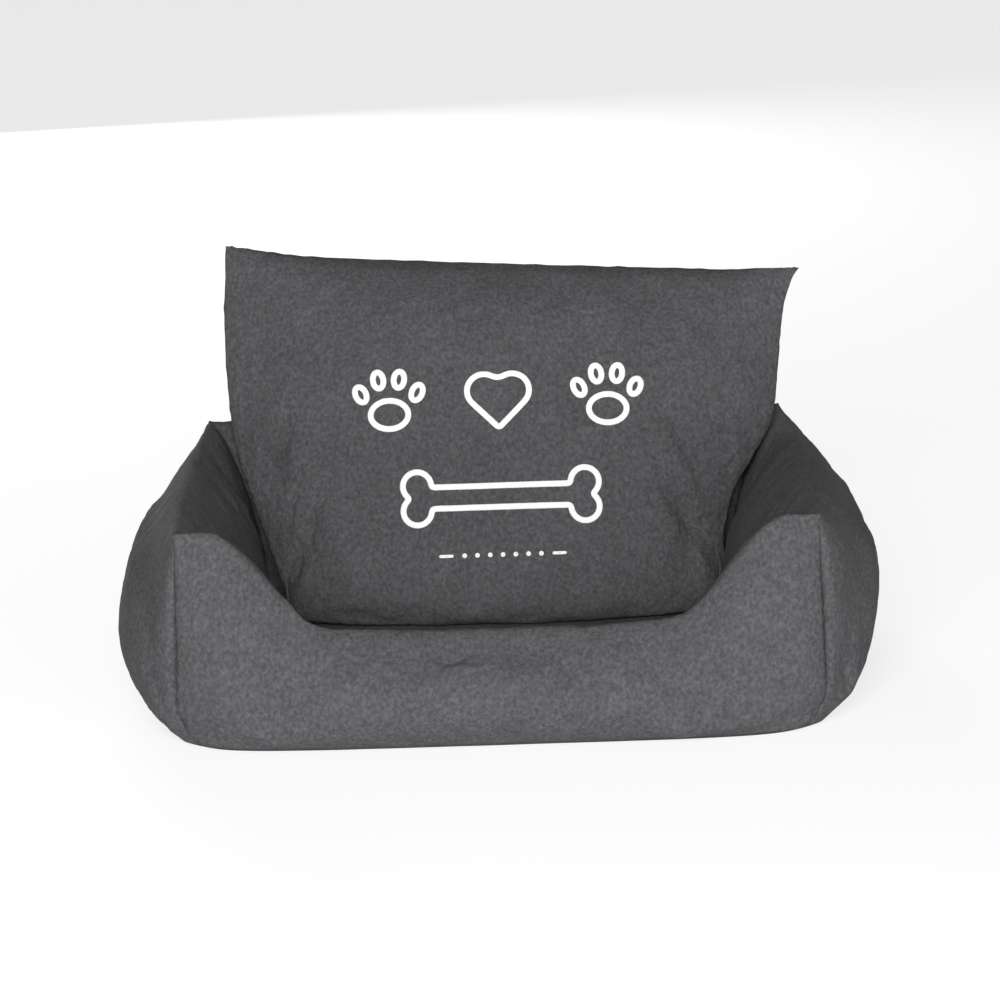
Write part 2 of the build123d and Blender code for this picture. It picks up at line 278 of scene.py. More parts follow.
class Wall:
    """One wall of the ring: its direction and outward direction in plan, the half length and offset of
    its ridge, and how far it swells out and in. The higher the power, the squarer it is in plan. slim
    is the share that the cushion flattens its inner side by. Neighbours share their mitred ends."""

    def __init__(self, name, along, outward, half, offset, out, power, into, dips=False,
                 shape=OUTER_SHAPE, slim=0.0):
        self.name = name
        self.shape = shape
        self.slim = slim
        self.along, self.outward = np.array(along, float), np.array(outward, float)
        self.half, self.offset = half, offset
        self.out, self.power, self.into = out, power, into
        self.dips = dips
        self.cols = int(round(2 * half / STEP)) // 2 * 2 + 1

    def height(self, t):
        """Height of the ridge at t, which goes from -1 to 1 along the wall."""
        if not self.dips:
            return WALL_HEIGHT + RIDGE_EASE
        share = (abs(t) * self.half - DIP_FLAT_X) / (DIP_TOP_X - DIP_FLAT_X)
        rise = WALL_HEIGHT + RIDGE_EASE - DIP_HEIGHT
        return DIP_HEIGHT + rise * float(smooth_step(np.clip(share, 0, 1) ** DIP_POWER))

    def swell(self, t):
        """How far the wall swells outward at t."""
        return self.out * (1 - min(1, abs(t)) ** self.power) ** 0.73

    def foot(self, t):
        """How far the foot is outward from the ridge line."""
        return OUTER_FOOT * self.swell(t) - FOOT_TUCK - CORNER_TUCK * abs(t) ** 8

    def place(self, t, d, z):
        """Points at t along the wall, d outward from its ridge line and z high."""
        run = t * (self.half + d)
        reach = self.offset + d
        x = self.along[0] * run + self.outward[0] * reach
        y = self.along[1] * run + self.outward[1] * reach
        return np.stack([x, y, np.broadcast_to(z, np.shape(x))], axis=-1)

    def section(self, t):
        """Points of the section at t: from the outer foot up over the ridge to the inner foot."""
        height = self.height(t)
        out = self.swell(t)
        into = CORNER_DEPTH + (self.into - CORNER_DEPTH) * (1 - t * t)
        outer = [(self.foot(t), FOOT)]
        outer += [(s * out, z * height) for z, s in self.shape] + [(0, height)]
        less = self.slim * (1 - t * t)
        inner = [(0, height)] + [(-s * into * (1 - less * z), z * height) for z, s in INNER_SHAPE]
        inner.append((-INNER_FOOT * into, FOOT))
        dz = np.concatenate([curve_points(outer, OUT_ROWS + 1), curve_points(inner, IN_ROWS + 1)[1:]])
        return self.place(t, dz[:, 0], dz[:, 1])

    def grid(self):
        return np.stack([self.section(t) for t in np.linspace(-1, 1, self.cols)])


RIDGE_X, RIDGE_Y = CORNER_X + CORNER_EASE, CORNER_Y + CORNER_EASE
WALLS = [
    Wall("front", (1, 0), (0, -1), RIDGE_X, RIDGE_Y, FRONT_BULGE - SWELL, 4.0, 62 * MM, dips=True),
    Wall("right", (0, 1), (1, 0), RIDGE_Y, RIDGE_X, SIDE_BULGE - 2 * SWELL, 2.5, 78 * MM,
         shape=HIGH_SHAPE),
    Wall("back", (-1, 0), (0, 1), RIDGE_X, RIDGE_Y, BACK_BULGE - SWELL, 5.0, 65 * MM),
    Wall("left", (0, -1), (-1, 0), RIDGE_Y, RIDGE_X, SIDE_BULGE - 2 * SWELL, 2.5, 78 * MM, slim=0.35),
]
ROWS = OUT_ROWS + IN_ROWS + 1


def ridge_row(grid):
    """The row on the ridge seam, in a coarse or a fine grid of a wall."""
    return (grid.shape[1] - 1) * OUT_ROWS // (ROWS - 1)


def seam_reach(grid):
    """Distance of each point of a wall from the ridge seam and from the nearer corner seam."""
    climb, run = run_along(grid, 1), run_along(grid, 0)
    row = ridge_row(grid)
    return np.abs(climb - climb[:, row:row + 1]), np.minimum(run, run[-1:] - run)


def build_ring():
    """The walls as one closed ring of fabric, simulated. Returns a grid for each wall."""
    grids = [wall.grid() for wall in WALLS]
    joined = np.concatenate([grid[:-1] for grid in grids])
    reach = np.concatenate([np.minimum(*seam_reach(grid))[:-1] for grid in grids])
    cols = len(joined)
    jitter = rng.normal(0, 0.25 * MM, joined.shape)
    jitter[:, [0, -1]] = 0
    verts = (joined + jitter).reshape(-1, 3)
    faces = grid_faces(cols, ROWS, wrap=True)
    for i in range(cols):
        n = (i + 1) % cols
        faces.append((i * ROWS + ROWS - 1, n * ROWS + ROWS - 1, n * ROWS, i * ROWS))   # the bottom
    ring = new_object("ring", verts, faces)
    pinned = np.zeros((cols, ROWS))
    pinned[:, [0, 1, ROWS - 2, ROWS - 1]] = 1
    gathered = np.exp(-(reach / (9 * MM)) ** 2)
    swollen = simulate(ring, pinned.ravel(), gathered.ravel(), gather=0.07, pressure=2.4, cap=11 * MM)
    bpy.data.objects.remove(ring)
    swollen = swollen.reshape(cols, ROWS, 3)
    result, at = [], 0
    for grid in grids:
        result.append(swollen[[(at + k) % cols for k in range(len(grid))]])
        at += len(grid) - 1
    return result


def settle_crest(grid):
    """Lets the inner panel fall away from the ridge seam, so that the outer one makes the crest."""
    seam = grid[:, OUT_ROWS:OUT_ROWS + 1]
    inner = grid[:, OUT_ROWS:]
    behind = inner[..., 1] - seam[..., 1]
    fall = 0.35
    limit = seam[..., 2] + 1.5 * MM - fall * behind
    soft = 2 * MM
    over = (inner[..., 2] - limit) / soft
    lowered = inner[..., 2] - soft * np.log1p(np.exp(np.clip(over, -30, 30)))
    settled = grid.copy()
    settled[:, OUT_ROWS:, 2] += (lowered - inner[..., 2]) * smooth_step(behind / (6 * MM))
    return settled


def refine_wall(grid):
    """Finer grid for a wall, smooth within the outer and the inner panel and creased at the ridge."""
    fine = refine_axis(grid, FINER, 0)
    outer = refine_axis(fine[:, :OUT_ROWS + 1], FINER, 1)
    inner = refine_axis(fine[:, OUT_ROWS:], FINER, 1)
    return np.concatenate([outer, inner[:, 1:]], axis=1)


def seam_relief(grid, wall):
    """Adds what sewing does: a groove at each seam, and small gathers that fade away from it."""
    ridge, corner = seam_reach(grid)
    inward = grid.mean(axis=1, keepdims=True) - grid
    inward /= np.linalg.norm(inward, axis=2, keepdims=True)
    near = np.minimum(ridge, corner)
    groove = 2.4 * MM * np.exp(-(near / (2.6 * MM)) ** 2)
    # gathers run straight away from their seam, so their noise is read along the seam only
    on_ridge = grid[:, ridge_row(grid)][:, None] + 0 * grid
    up_corner = np.stack([0 * ridge, 0 * ridge, grid[..., 2]], axis=-1)
    corner_seed = 3 + 2 * len(wall.name)
    ripple = value_noise(on_ridge, 7 * MM, 1) * beside_seam(ridge, 11 * MM, 3 * MM)
    ripple += 1.3 * value_noise(on_ridge, 24 * MM, 2) * beside_seam(ridge, 46 * MM, 9 * MM)
    ripple += value_noise(up_corner, 7 * MM, corner_seed) * beside_seam(corner, 10 * MM, 3 * MM)
    above_foot = np.clip(grid[..., 2] / (14 * MM) - 0.6, 0, 1)
    gathers = 1.5 * MM * ripple * above_foot
    wave = 1.3 * MM * value_noise(grid, 55 * MM, 4) * smooth_step(near / (18 * MM)) * above_foot
    return grid + inward * (groove * above_foot - gathers - wave)[..., None]


# ---- zips, read from the frame -------------------------------------------------------------------
PIN_HEIGHT = 5 * MM                                    # a pull's hinge over the zip's land
POCKET = (18 * MM, 15 * MM)                            # beyond the coils' ends, and half as wide
FILLING_POCKET = (30 * MM, 26 * MM)
PILLOW_POCKET = (26 * MM, 24 * MM)


def zip_plane(prefix):
    """Land of a zip: origin, direction along it, across it and out of the fabric, from its joints."""
    joints = {j["name"]: j for j in frame["joints"]}
    hinge = joints[prefix + "_zip_pull_hinge"]
    travel = joints[prefix + "_zip_travel"]
    x_dir = np.array(travel["axis"], float)
    y_dir = -np.array(hinge["axis"], float)
    out = np.cross(x_dir, y_dir)
    low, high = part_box(prefix + "_zip_coils")
    origin = np.array(hinge["pos_m"], float) - out * PIN_HEIGHT
    origin[0] = (low.x + high.x) / 2
    return origin, x_dir, y_dir, out


def zip_half_length(prefix):
    low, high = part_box(prefix + "_zip_coils")
    return (high.x - low.x) / 2


def press_zip_pocket(prefix, grid, pocket, sink=0.0):
    """Draws a skin down on to a zip's land, or to sink below it, with a soft edge round the pocket."""
    origin, x_dir, y_dir, out = zip_plane(prefix)
    beyond, half_width = pocket
    half_length = zip_half_length(prefix) + beyond
    rel = grid - (origin - out * sink)
    u, v, w = rel @ x_dir, rel @ y_dir, rel @ out
    share = smooth_step((half_length + 10 * MM - np.abs(u)) / (12 * MM))
    share *= smooth_step((half_width + 7 * MM - np.abs(v)) / (8 * MM))
    share *= np.abs(w) < 40 * MM                       # the skin's far side stays where it is
    return grid - out * (share * w)[..., None]


# ---- cushion -------------------------------------------------------------------------------------
# Sections up the cushion: (height, left half width, right half width, half thickness), in mm.
CUSHION_SECTIONS = np.array([
    (0, 230, 226, 10), (14, 247, 240, 34), (46, 262, 252, 51), (95, 278, 255, 57), (140, 293, 267, 59),
    (185, 306, 292, 59), (225, 313, 311, 58), (290, 317, 320, 54), (350, 316, 325, 45),
    (390, 312, 330, 29), (409, 308, 334, 8),
]) * MM
# Valleys that the arms press into the front: (u, height, half width, half height, depth), in mm.
DENTS = [(206, 88, 17, 62, 13), (-214, 74, 20, 56, 10), (150, 30, 46, 24, 7), (-120, 26, 60, 20, 6),
         (292, 330, 20, 34, 5), (-280, 300, 26, 60, 4)]
DENT_LEAN = 0.22                                       # the valleys lean outward as they rise
TOP_HEIGHT, FULL_THICKNESS = CUSHION_SECTIONS[-1, 0], CUSHION_SECTIONS[:, 3].max()
TOP_SLOPE = math.tan(math.radians(3.6))
BACK_SHARE = 0.9                                       # the back swells less than the front
CUSHION_SWELL = 6 * MM                                 # what the pressure adds to each side
CUSHION_UP = np.array([0, math.sin(LEAN), math.cos(LEAN)])
CUSHION_FACE = np.array([0, -math.cos(LEAN), math.sin(LEAN)])
CUSHION_FOOT = np.array([10 * MM, 128 * MM, FLOOR_TOP + 3.2 * MM])
CUSHION_COLS, CUSHION_ROWS = 80, 54
CROWD = math.pi / 2 * 0.93                             # columns crowd towards the edge seams
EAR_REACH = 34 * MM
LEFT_EAR, RIGHT_EAR = (5 * MM, 6 * MM), (13 * MM, 0)   # how far out and up each is drawn
SAG, SAG_HEIGHT = 1.20, 42 * MM                        # the front rolls down on to the floor


def cushion_place(u, v, n):
    """Points u across the cushion, v up its lean and n out of its face."""
    return (CUSHION_FOOT + np.multiply.outer(u, [1, 0, 0]) + np.multiply.outer(v, CUSHION_UP)
            + np.multiply.outer(n, CUSHION_FACE))


def squeeze_dents(u, height):
    total = np.zeros_like(u)
    for at, up, wide, high, deep in DENTS:
        lean = (height / MM - up) * DENT_LEAN * np.sign(at)
        away = ((u / MM - at - lean) / wide) ** 2 + ((height / MM - up) / high) ** 2
        total += deep * MM * np.exp(-away)
    return total


def cushion_grid(side):
    """Points of the front (side 1) or back (side -1) panel, columns from left to right."""
    curve = curve_points(CUSHION_SECTIONS, 200)
    heights = np.linspace(0, 1, CUSHION_ROWS) * curve[-1, 0]
    sections = np.stack([np.interp(heights, curve[:, 0], curve[:, k]) for k in range(4)], axis=1)
    share = np.sin(np.linspace(-1, 1, CUSHION_COLS) * CROWD) / math.sin(CROWD)
    crown = (1 - np.abs(share) ** 2.6) ** 0.62
    ear_out, ear_up = (np.where(share < 0, *pair) for pair in zip(LEFT_EAR, RIGHT_EAR))
    grid = np.zeros((CUSHION_COLS, CUSHION_ROWS, 3))
    for j, (height, left, right, thick) in enumerate(sections):
        u = np.where(share < 0, share * left, share * right)
        v = height - TOP_SLOPE * (height / TOP_HEIGHT) ** 2 * u
        depth = crown * (thick - CUSHION_SWELL) * (1 if side > 0 else -BACK_SHARE)
        if side > 0:
            depth = depth - squeeze_dents(u, height) * crown * thick / FULL_THICKNESS
            v = v - SAG * depth * math.exp(-height / SAG_HEIGHT)
        # the top corners are drawn out to ears
        from_corner = (1 - np.abs(share)) * left + TOP_HEIGHT - height
        ear = np.exp(-from_corner / EAR_REACH)
        grid[:, j] = cushion_place(u + np.sign(u) * ear * ear_out, v + ear * ear_up, depth)
    return grid


EDGES = (np.s_[0, :], np.s_[-1, :], np.s_[:, 0], np.s_[:, -1])


def close_cushion(front, back):
    """Brings both panels to one seam all round the edge."""
    for edge in EDGES:
        middle = (front[edge] + back[edge]) / 2
        front[edge] = middle
        back[edge] = middle
    return front, back


def steps_from_end(count):
    return np.minimum(np.arange(count), np.arange(count)[::-1])


def build_cushion():
    """Both panels as one closed bag, simulated. Returns the grids of the front and the back."""
    front, back = close_cushion(cushion_grid(1), cushion_grid(-1))
    cols, rows, _ = front.shape
    count = cols * rows
    index = np.arange(count).reshape(cols, rows)
    twin = index + count
    for edge in EDGES:
        twin[edge] = index[edge]
    jitter = rng.normal(0, 0.3 * MM, (2 * count, 3))
    verts = np.concatenate([front.reshape(-1, 3), back.reshape(-1, 3)]) + jitter
    faces = []
    for i in range(cols - 1):
        for j in range(rows - 1):
            faces.append((index[i, j], index[i + 1, j], index[i + 1, j + 1], index[i, j + 1]))
            faces.append((twin[i, j + 1], twin[i + 1, j + 1], twin[i + 1, j], twin[i, j]))
    used = np.unique(np.array(faces))
    renumber = -np.ones(2 * count, int)
    renumber[used] = np.arange(len(used))
    bag = new_object("bag", verts[used], renumber[np.array(faces)])
    reach = np.minimum(steps_from_end(cols)[:, None], steps_from_end(rows)[None]) * 7 * MM
    gathered = np.exp(-(np.tile(reach.ravel(), 2)[used] / (12 * MM)) ** 2)
    low = np.broadcast_to(np.arange(rows) < 2, (cols, rows)).ravel()
    pinned = np.tile(low, 2)[used].astype(float)
    whole = np.zeros((2 * count, 3))
    whole[used] = simulate(bag, pinned, gathered, gather=0.075, pressure=2.2, cap=12 * MM)
    bpy.data.objects.remove(bag)
    whole[:, 2] = np.maximum(whole[:, 2], FLOOR_TOP + 1.5 * MM)
    return whole[index], whole[twin]


def cushion_relief(grid, seed):
    """Gathers along the edge seam, and the slow unevenness of loose stuffing."""
    fine = refine_axis(refine_axis(grid, FINER, 0), FINER, 1)
    out = grid_normals(fine)
    run, climb = run_along(fine, 0), run_along(fine, 1)
    side = np.minimum(run, run[-1:] - run)
    end = np.minimum(climb, climb[:, -1:] - climb)
    across = np.stack([fine[..., 0], 0 * side, 0 * side], axis=-1)
    upward = np.stack([0 * side, 0 * side, fine[..., 2]], axis=-1)
    ripple = value_noise(across, 9 * MM, seed) * beside_seam(end, 15 * MM, 4 * MM)
    ripple += value_noise(upward, 9 * MM, seed + 1) * beside_seam(side, 15 * MM, 4 * MM)
    slow = value_noise(fine, 70 * MM, seed + 2) * smooth_step(np.minimum(side, end) / (30 * MM))
    return fine + out * (1.6 * MM * ripple + 1.8 * MM * slow)[..., None]


# ---- materials -----------------------------------------------------------------------------------
def grey(value, tint=(1, 1, 1)):
    """Linear colour from an 8-bit grey as it shows."""
    c = value / 255
    linear = c / 12.92 if c <= 0.04045 else ((c + 0.055) / 1.055) ** 2.4
    return (linear * tint[0], linear * tint[1], linear * tint[2], 1)


def level(value):
    return (value, value, value, 1)


def node_tools(name):
    """A new material, its node tree, its shader and the object's own coordinates."""
    mat = bpy.data.materials.new(name)
    mat.use_nodes = True
    tree = mat.node_tree
    shader = tree.nodes["Principled BSDF"]
    coords = tree.nodes.new("ShaderNodeTexCoord").outputs["Object"]
    return mat, tree, shader, coords


def add_noise(tree, coords, scale, detail=2.0, roughness=0.6, stretch=None):
    source = coords
    if stretch:
        mapping = tree.nodes.new("ShaderNodeMapping")
        mapping.inputs["Scale"].default_value = stretch
        tree.links.new(coords, mapping.inputs["Vector"])
        source = mapping.outputs["Vector"]
    node = tree.nodes.new("ShaderNodeTexNoise")
    node.inputs["Scale"].default_value = scale
    node.inputs["Detail"].default_value = detail
    node.inputs["Roughness"].default_value = roughness
    tree.links.new(source, node.inputs["Vector"])
    return node.outputs["Fac"]


def add_ramp(tree, source, stops):
    node = tree.nodes.new("ShaderNodeValToRGB")
    ramp = node.color_ramp
    for k, (place, colour) in enumerate(stops):
        stop = ramp.elements[k] if k < 2 else ramp.elements.new(place)
        stop.position, stop.color = place, colour
    tree.links.new(source, node.inputs["Fac"])
    return node.outputs["Color"]


def add_mix(tree, kind, factor, a, b):
    node = tree.nodes.new("ShaderNodeMix")
    node.data_type, node.blend_type = "RGBA", kind
    node.inputs["Factor"].default_value = factor
    tree.links.new(a, node.inputs["A"])
    tree.links.new(b, node.inputs["B"])
    return node.outputs["Result"]


def add_bump(tree, shader, heights):
    """Stacks bumps: each is (source, strength, distance in metres)."""
    last = None
    for source, strength, distance in heights:
        node = tree.nodes.new("ShaderNodeBump")
        node.inputs["Strength"].default_value = strength
        node.inputs["Distance"].default_value = distance
        tree.links.new(source, node.inputs["Height"])
        if last:
            tree.links.new(last, node.inputs["Normal"])
        last = node.outputs["Normal"]
    tree.links.new(last, shader.inputs["Normal"])


def felt():
    """Dark grey melange felt: light and dark fibres at three sizes, a soft nap and a pressed surface."""
    mat, tree, shader, coords = node_tools("felt")
    value = 76
    fibre = add_noise(tree, coords, 1000, 2.0, 0.6)
    fleck = add_noise(tree, coords, 260, 2.5, 0.6, stretch=(1, 1, 0.8))
    cloud = add_noise(tree, coords, 22, 3.0, 0.55)
    tint = (0.985, 1.0, 1.035)
    base = add_ramp(tree, fleck, [(0.32, grey(value - 11, tint)), (0.70, grey(value + 12, tint)),
                                  (0.50, grey(value, tint))])
    fine = add_ramp(tree, fibre, [(0.28, level(0.76)), (0.74, level(1.32))])
    slow = add_ramp(tree, cloud, [(0.35, level(0.94)), (0.65, level(1.05))])
    colour = add_mix(tree, "MULTIPLY", 0.75, base, fine)
    colour = add_mix(tree, "MULTIPLY", 1.0, colour, slow)
    tree.links.new(colour, shader.inputs["Base Color"])
    shader.inputs["Roughness"].default_value = 0.96
    shader.inputs["Specular IOR Level"].default_value = 0.06
    shader.inputs["Sheen Weight"].default_value = 0.015
    shader.inputs["Sheen Roughness"].default_value = 0.55
    pressed = add_noise(tree, coords, 110, 2.0, 0.5)
    add_bump(tree, shader, [(pressed, 0.25, 0.0012), (fleck, 0.22, 0.0004), (fibre, 0.25, 0.0002)])
    return mat


def fibre_fill():
    """White polyester fibre: fine strands in soft tufts."""
    mat, tree, shader, coords = node_tools("fibre_fill")
    strands = add_noise(tree, coords, 900, 4.0, 0.75, stretch=(1, 0.4, 1))
    tufts = add_noise(tree, coords, 60, 4.0, 0.6)
    colour = add_ramp(tree, strands, [(0.3, (0.72, 0.72, 0.70, 1)), (0.7, (0.9, 0.9, 0.88, 1))])
    tree.links.new(colour, shader.inputs["Base Color"])
    shader.inputs["Roughness"].default_value = 1.0
    add_bump(tree, shader, [(tufts, 0.8, 0.004), (strands, 0.6, 0.0008)])
    return mat


def woven(name, colour, pitch, roughness, contrast, sheen=0.0):
    """Plain weave: crossing sets of threads, a wave texture for each axis, with slight unevenness."""
    mat, tree, shader, coords = node_tools(name)
    threads = []
    for axis in ("X", "Y", "Z"):
        wave = tree.nodes.new("ShaderNodeTexWave")
        wave.wave_type, wave.bands_direction = "BANDS", axis
        wave.inputs["Scale"].default_value = 0.314 / pitch
        wave.inputs["Distortion"].default_value = 0.3
        tree.links.new(coords, wave.inputs["Vector"])
        threads.append(wave.outputs["Color"])
    weave = add_mix(tree, "ADD", 1.0, add_mix(tree, "ADD", 1.0, threads[0], threads[1]), threads[2])
    uneven = add_noise(tree, coords, 180, 3.0, 0.6)
    low = tuple(c * (1 - contrast) for c in colour)
    high = tuple(min(1, c * (1 + contrast)) for c in colour)
    shade = add_ramp(tree, uneven, [(0.3, (*low, 1)), (0.7, (*high, 1))])
    tree.links.new(shade, shader.inputs["Base Color"])
    shader.inputs["Roughness"].default_value = roughness
    shader.inputs["Sheen Weight"].default_value = sheen
    add_bump(tree, shader, [(weave, 0.45, pitch * 0.25), (uneven, 0.2, 0.0006)])
    return mat


def plated_metal():
    """Dark nickel of the sliders and pulls, a little worn."""
    mat, tree, shader, coords = node_tools("dark_nickel")
    wear = add_noise(tree, coords, 500, 4.0, 0.6)
    colour = add_ramp(tree, wear, [(0.35, (0.07, 0.07, 0.073, 1)), (0.75, (0.14, 0.14, 0.145, 1))])
    rough = add_ramp(tree, wear, [(0.3, level(0.28)), (0.7, level(0.42))])
    tree.links.new(colour, shader.inputs["Base Color"])
    tree.links.new(rough, shader.inputs["Roughness"])
    shader.inputs["Metallic"].default_value = 1.0
    add_bump(tree, shader, [(wear, 0.15, 0.0001)])
    return mat


def coil_nylon():
    """Smooth black nylon of the zips' coils."""
    mat, tree, shader, coords = node_tools("coil_nylon")
    haze = add_noise(tree, coords, 900, 2.0, 0.5)
    colour = add_ramp(tree, haze, [(0.3, (0.035, 0.035, 0.037, 1)), (0.7, (0.06, 0.06, 0.063, 1))])
    tree.links.new(colour, shader.inputs["Base Color"])
    shader.inputs["Roughness"].default_value = 0.38
    add_bump(tree, shader, [(haze, 0.1, 0.0001)])
    return mat


def print_ink():
    """Matt white transfer print: slightly broken up by the felt's fibres under it."""
    mat, tree, shader, coords = node_tools("print_ink")
    fleck = add_noise(tree, coords, 700, 3.0, 0.65)
    colour = add_ramp(tree, fleck, [(0.30, grey(205)), (0.48, grey(240))])
    tree.links.new(colour, shader.inputs["Base Color"])
    shader.inputs["Roughness"].default_value = 0.7
    add_bump(tree, shader, [(fleck, 0.3, 0.0003)])
    return mat


def nylon_with_dots():
    """Black non-slip nylon: a tight weave under rows of small raised dots."""
    mat = woven("nylon_sheet", (0.022, 0.022, 0.024), 0.7 * MM, 0.6, 0.3)
    tree = mat.node_tree
    shader = tree.nodes["Principled BSDF"]
    coords = tree.nodes["Texture Coordinate"].outputs["Object"]
    dots = tree.nodes.new("ShaderNodeTexVoronoi")
    dots.inputs["Scale"].default_value = 90
    dots.inputs["Randomness"].default_value = 0
    tree.links.new(coords, dots.inputs["Vector"])
    shape = add_ramp(tree, dots.outputs["Distance"], [(0.16, level(1)), (0.24, level(0))])
    bump = tree.nodes.new("ShaderNodeBump")
    bump.inputs["Distance"].default_value = 0.0008
    tree.links.new(shape, bump.inputs["Height"])
    tree.links.new(shader.inputs["Normal"].links[0].from_socket, bump.inputs["Normal"])
    tree.links.new(bump.outputs["Normal"], shader.inputs["Normal"])
    return mat


def paint(obj, mat):
    obj.data.materials.clear()
    obj.data.materials.append(mat)


MATERIALS = {
    "grey_felt": felt(),
    "black_nylon": nylon_with_dots(),
    "white_fibre": fibre_fill(),
    "white_ticking": woven("ticking", (0.72, 0.72, 0.70), 0.8 * MM, 0.9, 0.06),
    "white_print": print_ink(),
    "zip_tape": woven("zip_tape", (0.03, 0.03, 0.033), 0.5 * MM, 0.75, 0.3, sheen=0.1),
    "zip_coil": coil_nylon(),
    "zip_metal": plated_metal(),
}


def add_piece(obj, body, slot, nodes=()):
    """Places a finished piece: its body, its material slot and what it replaces."""
    paint(obj, MATERIALS[slot])
    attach(obj, body)
    if nodes:
        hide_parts(*nodes)
    return obj


# ---- making the pieces ---------------------------------------------------------------------------
def make_walls():
    for wall, grid in zip(WALLS, build_ring()):
        if wall.dips:
            grid = settle_crest(grid)
        skin = seam_relief(refine_wall(grid), wall)
        core = grid - grid_normals(grid) * FILLING_INSET
        if wall.name == "back":
            skin = press_zip_pocket("bed", skin, POCKET)
            core = press_zip_pocket("bed", core, FILLING_POCKET, sink=9 * MM)
        cover = shell(wall.name + "_cover_fabric", skin, FABRIC)
        add_piece(cover, "bed", "grey_felt", [wall.name + "_wall_cover"])
        filling = make_filling(wall, core)
        add_piece(filling, "bed", "white_fibre", [wall.name + "_wall_filling"])


def make_filling(wall, core):
    """The fibre inside a wall: a closed body a little smaller than its cover."""
    core = core[1:-1].copy()
    core[..., 2] = np.maximum(core[..., 2], FOOT + 2 * MM)
    cols, rows, _ = core.shape
    verts = list(core.reshape(-1, 3))
    faces = grid_faces(cols, rows, tube=True)
    for i in (0, cols - 1):
        centre = len(verts)
        verts.append(core[i].mean(axis=0))
        ring = [i * rows + j for j in range(rows)]
        fan = [(a, b, centre) for a, b in zip(ring, ring[1:] + ring[:1])]
        faces += turned(fan) if i else fan
    return new_object(wall.name + "_fibre", verts, faces)


def make_floor():
    """The padded floor: a wadded panel that swells between the walls, on its wadding."""
    low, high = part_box("base_top_panel")
    half_x, half_y = (high.x - low.x) / 2 + 9 * MM, (high.y - low.y) / 2 + 6 * MM
    mid_y = (high.y + low.y) / 2
    cols, rows = 120, 104
    u, v = np.meshgrid(np.linspace(-1, 1, cols), np.linspace(-1, 1, rows), indexing="ij")
    crown = smooth_step(np.minimum(1 - np.abs(u), 1 - np.abs(v)) / 0.16)
    x = u * half_x * (1 + 0.010 * (1 - v**2))
    y = mid_y + v * half_y
    ripple = 0.9 * MM * value_noise(np.stack([x, y, 0 * x], axis=-1), 60 * MM, 31)
    z = FLOOR_TOP - 9 * MM * (1 - crown) + ripple * crown
    panel = shell("floor_fabric", np.stack([x, y, z], axis=-1), FABRIC)
    add_piece(panel, "bed", "grey_felt", ["base_top_panel"])
    inside = np.s_[3:-3, 3:-3]
    upper = np.stack([x, y, z - 2.2 * MM], axis=-1)[inside]
    lower = np.stack([x, y, 0 * x + SHEET_TOP + 0.5 * MM], axis=-1)[inside]
    wadding = closed_body("floor_wadding", upper, lower)
    add_piece(wadding, "bed", "white_fibre", ["base_pad"])


def base_path():
    """The outline of the underside sheet: it follows the walls' feet, just clear of them."""
    low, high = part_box("base_bottom_panel")
    outline = []
    for wall in WALLS:
        for t in np.linspace(-1, 1, 60)[:-1]:
            outline.append(wall.place(t, wall.foot(t) + 3.5 * MM - CORNER_EASE, 0.0))
    path = np.array(outline)
    path[:, 0] = np.clip(path[:, 0], low.x - 2 * MM, high.x + 2 * MM)
    path = ease_loop(path, 6)
    return refine_axis(np.concatenate([path, path[:1]]), 3, 0)[:-1]


def make_sheet(path):
    """The non-slip sheet under the bed, from its binding to its middle."""
    flat = np.stack([path * share for share in np.linspace(1.0, 0.02, 50)], axis=1)
    puff = 0.35 * MM * value_noise(flat, 45 * MM, 51)
    top, low = flat.copy(), flat.copy()
    top[..., 2] = 2.2 * MM + puff
    low[..., 2] = 0.6 * MM + puff
    around, rings, _ = flat.shape
    count = around * rings
    upper = grid_faces(around, rings, wrap=True)
    faces = upper + turned(upper, count) + rim([i * rings for i in range(around)], count)
    middle = [i * rings + rings - 1 for i in range(around)]
    faces += [middle] + turned([middle], count)
    sheet = new_object("base_sheet", np.concatenate([top.reshape(-1, 3), low.reshape(-1, 3)]), faces)
    add_piece(sheet, "bed", "black_nylon", ["base_bottom_panel"])


def make_binding(path):
    """A folded nylon strip sewn round the edge of the sheet."""
    side = np.pad(loop_sides(path[:, :2]), ((0, 0), (0, 1)))
    half_wide, half_high, middle = 4.2 * MM, 2.3 * MM, 2.4 * MM
    wobble = 0.5 * MM * value_noise(path, 30 * MM, 41)
    rows = []
    for a in np.linspace(0, 2 * math.pi, 12, endpoint=False):
        rise = middle + half_high * math.copysign(abs(math.sin(a)) ** 0.7, math.sin(a))
        rows.append(path + side * (half_wide * math.cos(a) + wobble[:, None]) + np.array([0, 0, rise]))
    verts = np.stack(rows, axis=1).reshape(-1, 3)
    faces = grid_faces(len(path), len(rows), wrap=True, tube=True)
    add_piece(new_object("base_binding", verts, faces), "bed", "black_nylon")


def closed_bag(name, front, back, inset, trim):
    """A closed copy of the cushion, drawn in by inset, whose edge stops trim cells short of the seam."""
    front = (front - grid_normals(front) * inset)[trim:-trim, trim:-trim]
    back = (back + grid_normals(back) * inset)[trim:-trim, trim:-trim]
    return closed_body(name, front, back)


